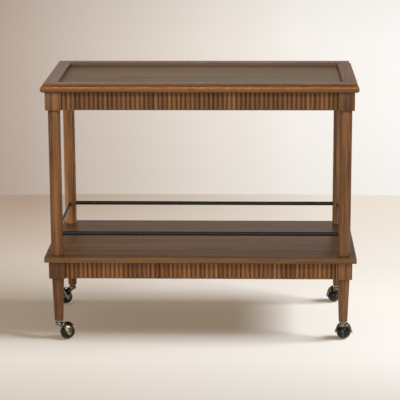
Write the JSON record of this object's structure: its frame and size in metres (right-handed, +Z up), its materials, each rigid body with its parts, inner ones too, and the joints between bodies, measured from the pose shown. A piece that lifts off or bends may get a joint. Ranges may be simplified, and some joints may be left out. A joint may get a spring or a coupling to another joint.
{
  "type": "bar cart",
  "caption": "Wooden bar cart with a raised-rim tray top, reeded aprons, an open lower shelf with black gallery rods, and hooded ball casters.",
  "frame": {"origin": "on the floor under the middle of the tray", "axes": "+X along the cart to the right of someone at its front, +Y from the front to the back, +Z up"},
  "size_m": [0.9223, 0.4676, 0.775],
  "materials": {
    "tray_wood": "stained walnut veneer, grain along the tray, satin lacquer",
    "rim_wood": "stained solid walnut, satin lacquer",
    "apron_wood": "stained walnut, reeds upright, darker in the grooves, satin lacquer",
    "leg_wood": "stained solid walnut, grain along the post, satin lacquer",
    "shelf_wood": "stained walnut veneer, grain along the shelf, satin lacquer",
    "brace_wood": "raw hardwood, sanded",
    "rod_paint": "satin black powder coat",
    "zinc_steel": "zinc plated steel",
    "aged_brass": "aged brass plating, darkened in the hollows",
    "ball_rubber": "smooth hard black rubber with a fine moulding seam"
  },
  "bodies": {
    "cart": {"tray_panel": "tray_wood", "tray_rim_front": "rim_wood", "tray_rim_right": "rim_wood", "tray_rim_rear": "rim_wood", "tray_rim_left": "rim_wood", "upper_apron_front": "apron_wood", "upper_apron_right": "apron_wood", "upper_apron_rear": "apron_wood", "upper_apron_left": "apron_wood", "lower_shelf": "shelf_wood", "lower_apron_front": "apron_wood", "lower_apron_right": "apron_wood", "lower_apron_rear": "apron_wood", "lower_apron_left": "apron_wood", "gallery_rod_front": "rod_paint", "gallery_rod_right": "rod_paint", "gallery_rod_rear": "rod_paint", "gallery_rod_left": "rod_paint", "post_front_left": "leg_wood", "post_front_right": "leg_wood", "post_rear_left": "leg_wood", "post_rear_right": "leg_wood", "foot_front_left": "leg_wood", "foot_front_right": "leg_wood", "foot_rear_left": "leg_wood", "foot_rear_right": "leg_wood", "hanger_bolt_front_left": "zinc_steel", "hanger_bolt_front_right": "zinc_steel", "hanger_bolt_rear_left": "zinc_steel", "hanger_bolt_rear_right": "zinc_steel", "upper_brace_front_left": "brace_wood", "upper_brace_front_right": "brace_wood", "upper_brace_rear_left": "brace_wood", "upper_brace_rear_right": "brace_wood", "lower_brace_front_left": "brace_wood", "lower_brace_front_right": "brace_wood", "lower_brace_rear_left": "brace_wood", "lower_brace_rear_right": "brace_wood", "caster_socket_front_left": "zinc_steel", "caster_socket_front_right": "zinc_steel", "caster_socket_rear_left": "zinc_steel", "caster_socket_rear_right": "zinc_steel"},
    "caster_front_left": {"caster_stem_front_left": "aged_brass", "caster_housing_front_left": "aged_brass", "caster_axle_front_left": "aged_brass"},
    "caster_front_right": {"caster_stem_front_right": "aged_brass", "caster_housing_front_right": "aged_brass", "caster_axle_front_right": "aged_brass"},
    "caster_rear_left": {"caster_stem_rear_left": "aged_brass", "caster_housing_rear_left": "aged_brass", "caster_axle_rear_left": "aged_brass"},
    "caster_rear_right": {"caster_stem_rear_right": "aged_brass", "caster_housing_rear_right": "aged_brass", "caster_axle_rear_right": "aged_brass"},
    "ball_front_left": {"caster_ball_front_left": "ball_rubber"},
    "ball_front_right": {"caster_ball_front_right": "ball_rubber"},
    "ball_rear_left": {"caster_ball_rear_left": "ball_rubber"},
    "ball_rear_right": {"caster_ball_rear_right": "ball_rubber"}
  },
  "joints": [
    {"name": "swivel_front_left", "type": "hinge", "parent": "cart", "child": "caster_front_left", "pos_m": [-0.4215, -0.193, 0.0525], "axis": [0, 0, 1], "continuous": true},
    {"name": "swivel_front_right", "type": "hinge", "parent": "cart", "child": "caster_front_right", "pos_m": [0.4215, -0.193, 0.0525], "axis": [0, 0, 1], "continuous": true},
    {"name": "swivel_rear_left", "type": "hinge", "parent": "cart", "child": "caster_rear_left", "pos_m": [-0.4215, 0.193, 0.0525], "axis": [0, 0, 1], "continuous": true},
    {"name": "swivel_rear_right", "type": "hinge", "parent": "cart", "child": "caster_rear_right", "pos_m": [0.4215, 0.193, 0.0525], "axis": [0, 0, 1], "continuous": true},
    {"name": "roll_front_left", "type": "hinge", "parent": "caster_front_left", "child": "ball_front_left", "pos_m": [-0.39801, -0.18445, 0.02225], "axis": [-0.342, 0.9397, 0], "continuous": true},
    {"name": "roll_front_right", "type": "hinge", "parent": "caster_front_right", "child": "ball_front_right", "pos_m": [0.42498, -0.16824, 0.02225], "axis": [-0.9903, 0.1392, 0], "continuous": true},
    {"name": "roll_rear_left", "type": "hinge", "parent": "caster_rear_left", "child": "ball_rear_left", "pos_m": [-0.44315, 0.1805, 0.02225], "axis": [0.5, -0.866, 0], "continuous": true},
    {"name": "roll_rear_right", "type": "hinge", "parent": "caster_rear_right", "child": "ball_rear_right", "pos_m": [0.41419, 0.21691, 0.02225], "axis": [-0.9563, -0.2924, 0], "continuous": true}
  ]
}
